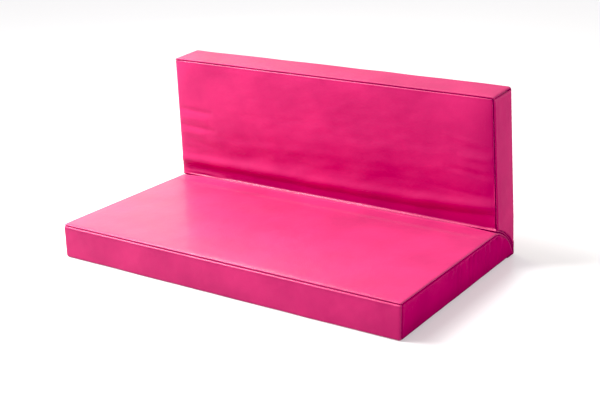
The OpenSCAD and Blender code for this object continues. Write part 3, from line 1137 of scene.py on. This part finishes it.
def coil(name, body, cad_node, place, side, phase, reach, pitch=1.7 * MM):
    """A row of zip teeth: one nylon thread wound into flattened loops, heads to the middle."""
    wire, half_thick = 0.30 * MM, 0.42 * MM
    off, half_loop, depth = 1.70 * MM, 0.95 * MM, 5.35 * MM
    turns = int(2 * reach / pitch)
    per_turn, sides = 8, 5
    t = np.arange(turns * per_turn + 1) / per_turn
    angle = 2 * math.pi * t
    x = -reach + pitch * (t + phase) + 0.30 * pitch * np.sin(2 * angle)
    y = side * (off - half_loop * np.cos(angle))
    z = half_thick * np.sin(angle) - depth
    line = np.stack([x, y, z], -1)
    ahead = np.gradient(line, axis=0)
    ahead /= np.linalg.norm(ahead, axis=1, keepdims=True)
    aside = np.cross(ahead, np.array([1.0, 0, 0]))
    aside /= np.linalg.norm(aside, axis=1, keepdims=True)
    over = np.cross(ahead, aside)
    turn = np.linspace(0, 2 * math.pi, sides, endpoint=False)
    ring = (np.cos(turn)[None, :, None] * aside[:, None]
            + np.sin(turn)[None, :, None] * over[:, None])
    points = place(line[:, None] + wire * ring)
    made = turned_out(new_mesh(name, points.reshape(-1, 3), tube_faces(len(line), sides)))
    ride_cover(made, body, zip_coil, cad_node, slot="zip_coil")


ZIPS = (("seat", seat_zip, ("front", "rear")), ("backrest", back_zip, ("lower", "upper")))
for body, place, names in ZIPS:
    for word, side in zip(names, (1, -1)):
        cad_node = f"{body}_zip_teeth_{word}"
        reach = high(cad_node)[0] - 2 * MM
        coil(f"{body}_zip_coil_{word}", body, cad_node, place, side, (side + 1) / 4, reach)


def tape(name, body, cad_node, place, side):
    """Half of a zip's woven tape: its sewn-in flange, the step down, and the beaded edge."""
    corners = [(0.6, -6.2), (5.6, -6.2), (7.4, -1.4), (15.3, -1.4)]
    line = smooth_line(np.array(corners) * MM, step=0.35 * MM, soft=0.5 * MM)
    line = line * np.array([side, 1])
    x = spread(-TAPE_REACH, TAPE_REACH, 6 * MM, 1 * MM, 6 * MM)
    plane = np.broadcast_to(line[None], (len(x), *line.shape)).copy()
    plane[..., 1] += 0.06 * MM * waves(x[:, None], line[None, :, 0], 111, 20 * MM)
    points = along_x(x, plane)
    out = np.zeros_like(points)
    out[..., 2] = 1
    placed = place(points)
    out = place(out) - place(np.zeros_like(points))
    made = sheet_mesh(name, placed, normals_of(placed, out), TAPE_T)
    ride_cover(made, body, zip_cloth, cad_node, slot="zip_cloth")


def dress(cad_node, mat, round_off, segments=2):
    """A carried-over CAD piece: its finish, and softly rounded edges."""
    obj = frame["nodes"][cad_node]
    obj.data.materials.clear()
    obj.data.materials.append(mat)
    soften = obj.modifiers.new("rounded", "BEVEL")
    soften.width = round_off
    soften.segments = segments
    soften.limit_method = "ANGLE"
    soften.angle_limit = math.radians(35)


TAPE_REACH = HALF_L - 8 * MM
TAPE_T = 0.7 * MM
for body, place, names in ZIPS:
    for word, side in zip(names, (1, -1)):
        tape(f"{body}_zip_tape_sheet_{word}", body, f"{body}_zip_tape_{word}", place, side)
    dress(f"{body}_zip_stops", zip_metal, 0.2 * MM)
    dress(f"{body}_zip_slider", zip_metal, 0.25 * MM, 3)
    dress(f"{body}_zip_pull", zip_metal, 0.2 * MM, 3)


# ---- Stage ----

def area(name, place, aim, size, power, colour=(1, 1, 1)):
    lamp = bpy.data.lights.new(name, "AREA")
    lamp.shape = "RECTANGLE"
    lamp.size, lamp.size_y = size
    lamp.energy = power
    lamp.color = colour
    obj = added(name, lamp)
    obj.visible_camera = False
    obj.location = place
    obj.rotation_euler = (Vector(aim) - Vector(place)).to_track_quat("-Z", "Y").to_euler()
    return obj


def sun(name, towards, strength, spread_of):
    lamp = bpy.data.lights.new(name, "SUN")
    lamp.energy = strength
    lamp.angle = math.radians(spread_of)
    added(name, lamp).rotation_euler = Vector(towards).to_track_quat("-Z", "Y").to_euler()


CAMERA_AT = (1.5907, -2.3034, 1.1071)
CAMERA_TURN = (-33.93, -18.86, -1.41)    # yaw, pitch and roll, in degrees
SENSOR_W, FOCAL_LENGTH = 36, 69.2


def camera():
    """At the photo's viewing angle: right of the middle, above, and a long way out."""
    lens = bpy.data.cameras.new("camera")
    lens.sensor_width = SENSOR_W
    lens.lens = FOCAL_LENGTH
    obj = added("camera", lens)
    yaw, pitch, roll = (math.radians(a) for a in CAMERA_TURN)
    ahead = Vector((math.cos(pitch) * math.sin(yaw), math.cos(pitch) * math.cos(yaw),
                    math.sin(pitch)))
    right = Vector((math.cos(yaw), -math.sin(yaw), 0))
    up = right.cross(ahead)
    turned_right = right * math.cos(roll) + up * math.sin(roll)
    turned_up = up * math.cos(roll) - right * math.sin(roll)
    turn = Matrix((turned_right, turned_up, -ahead)).transposed()
    obj.matrix_world = Matrix.Translation(CAMERA_AT) @ turn.to_4x4()
    bpy.context.scene.camera = obj


def bright_floor():
    """White, and lit from within a little, as an over-exposed sweep is; clear from below."""
    bpy.ops.mesh.primitive_grid_add(x_subdivisions=4, y_subdivisions=4, size=24)
    made = bpy.context.object
    made.name = "floor"
    paint, shader = material("floor_paint", (0.52, 0.515, 0.52), 0.35)
    shader.inputs["Emission Color"].default_value = (1, 0.985, 0.99, 1)
    shader.inputs["Emission Strength"].default_value = 0.36
    clear = node(paint, "ShaderNodeBsdfTransparent")
    below = node(paint, "ShaderNodeNewGeometry")
    sided = node(paint, "ShaderNodeMixShader")
    link(paint, below.outputs["Backfacing"], sided.inputs[0])
    link(paint, shader.outputs[0], sided.inputs[1])
    link(paint, clear.outputs[0], sided.inputs[2])
    link(paint, sided.outputs[0], paint.node_tree.nodes["Material Output"].inputs[0])
    made.location.z = -0.2 * MM
    made.visible_glossy = False
    made.data.materials.append(paint)
    return made


def studio(left=0.68, right=0.26, backdrop=0.05):
    """Soft white light, stronger from the left, with a faint backdrop low down behind."""
    world = bpy.data.worlds.new("studio")
    bpy.context.scene.world = world
    world.use_nodes = True
    where = node(world, "ShaderNodeTexCoord")
    split = node(world, "ShaderNodeSeparateXYZ")
    link(world, where.outputs["Generated"], split.inputs["Vector"])

    def fade(axis, *limits):
        return map_range(world, split.outputs[axis], *limits, "SMOOTHSTEP")

    def combine(operation, first, second):
        made = node(world, "ShaderNodeMath", operation=operation)
        link(world, first, made.inputs[0])
        link(world, second, made.inputs[1])
        return made.outputs[0]

    lit = combine("MULTIPLY", fade("Y", -0.1, 0.6, 0, backdrop), fade("Z", 0.85, 0.35, 0, 1))
    lit = combine("MULTIPLY", lit, fade("X", 0.8, -0.4, 0.35, 1))
    total = combine("ADD", lit, fade("X", 0.8, -0.6, right, left))
    total = combine("MULTIPLY", total, fade("Z", -0.12, 0.02, 0.12, 1))
    background = world.node_tree.nodes["Background"]
    background.inputs["Color"].default_value = (1, 1, 1, 1)
    link(world, total, background.inputs["Strength"])


camera()
floor = bright_floor()
studio()
sun("key", (2.0, 1.0, -3.3), 1.65, 22)
area("left_panel", (-1.9, -0.95, 2.2), (0, 0, 0.15), (1.4, 1.4), 145)
area("back_panel", (-2.8, 1.9, 0.95), (0, 0, 0.2), (1.4, 1.1), 7, (1, 0.9, 0.62))
area("top_panel", (-1.6, 1.1, 1.9), (-0.1, -0.1, 0.1), (1.3, 1.0), 27, (1, 0.93, 0.74))
right_fill = area("right_fill", (1.8, 1.0, 1.0), (0.5, 0.25, 0.25), (1.2, 1.2), 17)
right_fill.visible_glossy = False
shown = bpy.context.scene.view_settings
shown.view_transform = "Standard"
shown.use_curve_mapping = True
shown.curve_mapping.black_level = (0.015, 0.028, 0.004)
shown.curve_mapping.update()
